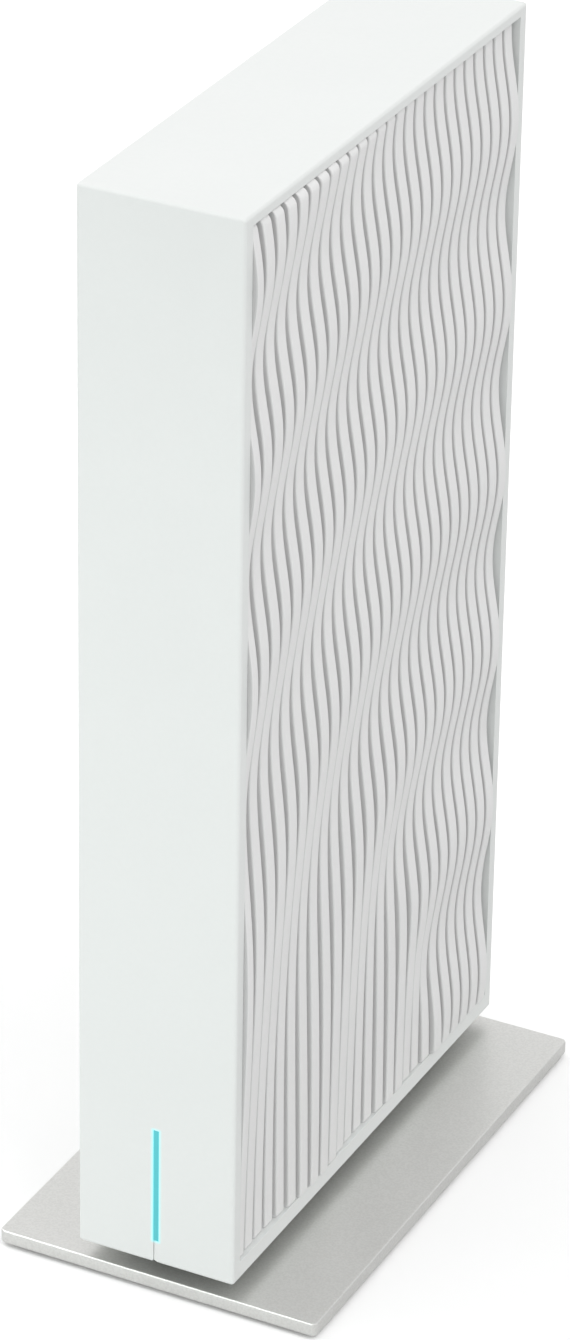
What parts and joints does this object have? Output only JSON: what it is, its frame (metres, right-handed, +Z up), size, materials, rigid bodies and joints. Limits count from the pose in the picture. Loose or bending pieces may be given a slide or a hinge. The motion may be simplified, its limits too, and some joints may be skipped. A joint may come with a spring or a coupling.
{
  "type": "mesh wifi node",
  "caption": "Slim white tower for wireless home networking, with rippled ribbed sides, a short light bar on its front and a flat metal base plate.",
  "frame": {"origin": "centre of the footprint, on the surface that the foot mat rests on", "axes": "+Z up along the tower, the narrow front with the light bar faces -Y, the sockets face +Y, X across the width"},
  "size_m": [0.0702, 0.1178, 0.233],
  "materials": {
    "white_shell": "white moulded plastic, fine satin texture",
    "wave_white": "white moulded plastic, fine satin texture",
    "base_metal": "bead-blasted and clear anodised, chamfered edges",
    "rubber": "dark silicone rubber",
    "black_plastic": "black moulded plastic",
    "light_guide": "diffusing acrylic, glows cyan when lit",
    "circuit_board": "glass-epoxy board with green solder mask",
    "antenna_board": "thin glass-epoxy board with dark blue solder mask",
    "chip": "moulded epoxy package",
    "coil": "pressed iron powder",
    "tin": "tin-plated folded steel",
    "aluminium_can": "drawn aluminium can",
    "heatsink": "extruded aluminium",
    "thermal_pad": "soft grey-blue silicone pad",
    "steel": "zinc-plated steel screw",
    "jack": "black glass-filled plastic",
    "switch": "black plastic switch block",
    "button": "light grey moulded plastic",
    "lamp": "light-emitting diode in clear resin",
    "ribbon": "flat flexible ribbon lead",
    "white_connector": "natural nylon connector",
    "gold": "gold-plated brass",
    "lead": "thin black coaxial lead"
  },
  "bodies": {
    "housing": {"main_frame": "white_shell", "rear_panel": "white_shell", "wave_panel_right": "wave_white", "wave_panel_left": "wave_white", "base_plate": "base_metal", "foot_mat": "rubber", "neck_spacer": "black_plastic", "light_shroud": "black_plastic", "chassis": "black_plastic", "antenna_carrier": "black_plastic", "light_guide": "light_guide", "main_board": "circuit_board", "light_board": "circuit_board", "antenna_low_band_1": "antenna_board", "antenna_low_band_2": "antenna_board", "antenna_high_band_1": "antenna_board", "antenna_high_band_2": "antenna_board", "processor": "chip", "memory_chip": "chip", "flash_chip": "chip", "power_coil": "coil", "radio_can_low_band": "tin", "radio_can_high_band": "tin", "capacitor": "aluminium_can", "heatsink": "heatsink", "thermal_pad": "thermal_pad", "base_screw_1": "steel", "base_screw_2": "steel", "base_screw_3": "steel", "base_screw_4": "steel", "board_screw_1": "steel", "board_screw_2": "steel", "board_screw_3": "steel", "board_screw_4": "steel", "heatsink_screw_1": "steel", "heatsink_screw_2": "steel", "network_jack_1": "jack", "network_jack_2": "jack", "network_jack_3": "jack", "power_jack": "jack", "power_switch": "switch", "pair_switch": "switch", "reset_switch": "switch", "status_lamp_1": "lamp", "status_lamp_2": "lamp", "status_lamp_3": "lamp", "light_ribbon": "ribbon", "light_connector": "white_connector", "aerial_plug_1": "gold", "aerial_plug_2": "gold", "aerial_plug_3": "gold", "aerial_plug_4": "gold", "aerial_lead_1": "lead", "aerial_lead_2": "lead", "aerial_lead_3": "lead", "aerial_lead_4": "lead"},
    "power_button": {"power_button": "button"},
    "pair_button": {"pair_button": "button"},
    "reset_button": {"reset_button": "button"}
  },
  "joints": [
    {"name": "power_button_press", "type": "slide", "parent": "housing", "child": "power_button", "axis": [0, -1, 0], "range_m": [0, 0.0012], "stiffness_N_per_m": 1200, "springref_m": -0.0006},
    {"name": "pair_button_press", "type": "slide", "parent": "housing", "child": "pair_button", "axis": [0, -1, 0], "range_m": [0, 0.0008], "stiffness_N_per_m": 1500, "springref_m": -0.0005},
    {"name": "reset_button_press", "type": "slide", "parent": "housing", "child": "reset_button", "axis": [0, -1, 0], "range_m": [0, 0.0005], "stiffness_N_per_m": 2000, "springref_m": -0.0004}
  ]
}
